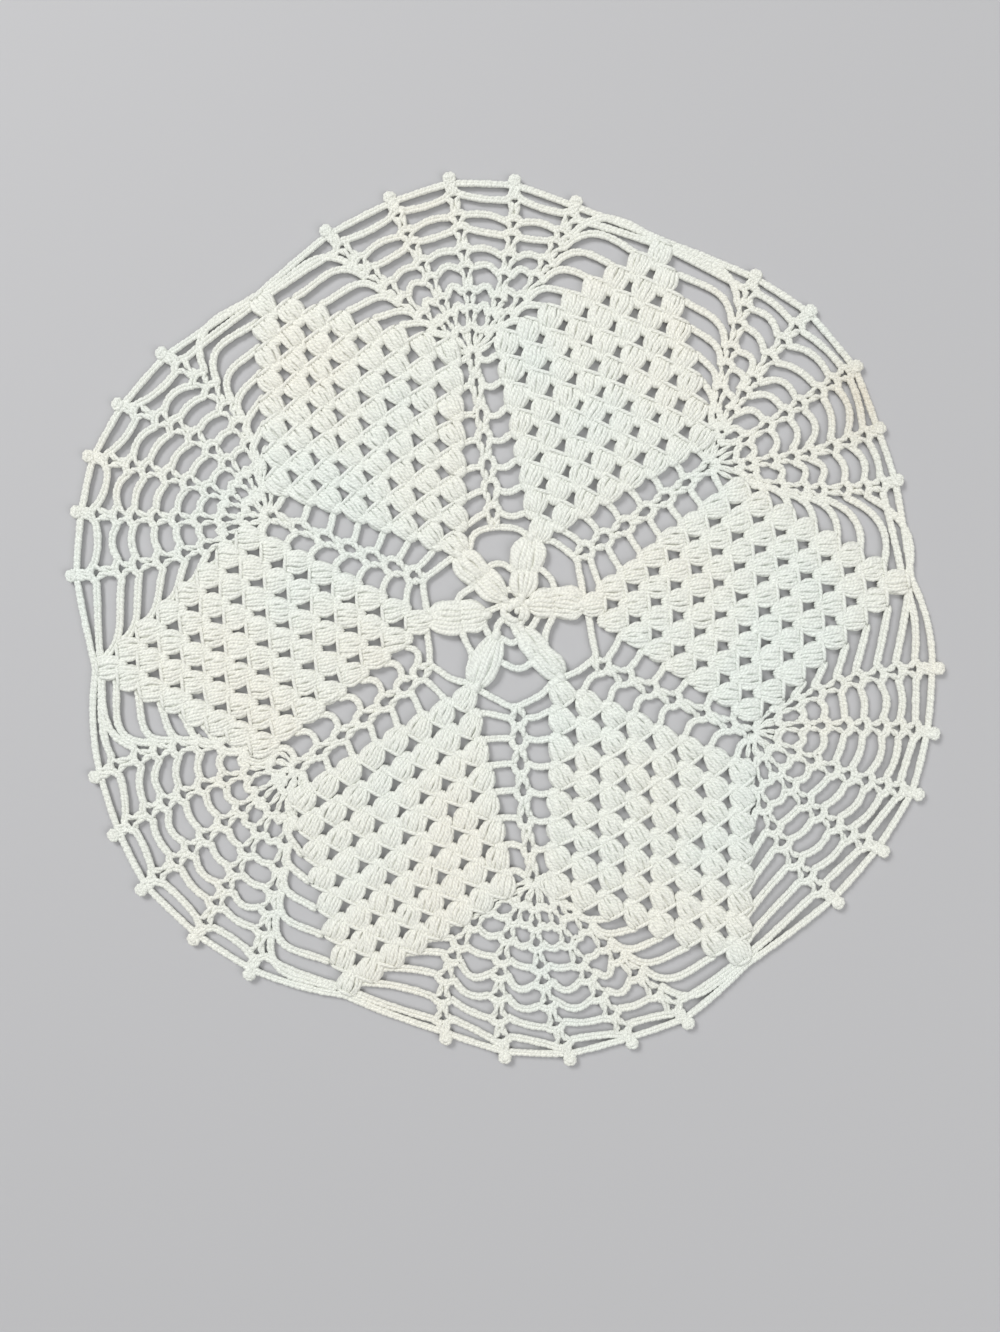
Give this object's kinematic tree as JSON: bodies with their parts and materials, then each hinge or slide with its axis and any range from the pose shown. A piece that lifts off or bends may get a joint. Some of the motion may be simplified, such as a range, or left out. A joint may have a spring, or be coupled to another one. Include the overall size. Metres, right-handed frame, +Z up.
{
  "type": "lace doily",
  "caption": "Round crocheted cotton doily with puff-stitch panels in a pinwheel, open ladders, chain-arc fans and a picot edge, lying flat.",
  "frame": {"origin": "on the table plane, under the middle of the doily's bounding box", "axes": "+Z up out of the table, through the thickness; +X and +Y lie in the doily's plane"},
  "size_m": [0.3034, 0.3066, 0.0034],
  "materials": {
    "cotton_thread": "matte mercerised crochet cotton"
  },
  "bodies": {
    "root": {"doily": "cotton_thread"}
  },
  "joints": []
}
